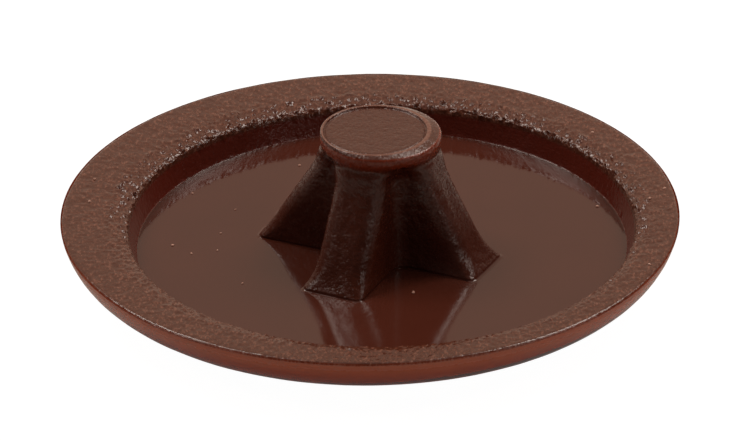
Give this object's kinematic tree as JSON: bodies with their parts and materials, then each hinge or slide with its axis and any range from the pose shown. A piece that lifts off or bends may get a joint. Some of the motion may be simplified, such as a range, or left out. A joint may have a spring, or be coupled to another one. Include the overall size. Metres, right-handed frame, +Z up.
{
  "type": "screw cover cap",
  "caption": "Round push-in cap that hides a screw head: a thin domed head, recessed inside, with a cross-ribbed plug that presses into a cross-slot screw.",
  "frame": {"origin": "middle of the small flat on the crown, which is the lowest point of the cap as it lies", "axes": "+Z is up, from the crown through the recess to the tip of the plug; +X is to the right in the picture"},
  "size_m": [0.012, 0.012, 0.0033],
  "materials": {
    "plastic": "red-brown moulded plastic, glossy on the recess floor and plug, fine matt texture on the rim face"
  },
  "bodies": {
    "root": {"screw_cover_cap": "plastic"}
  },
  "joints": []
}
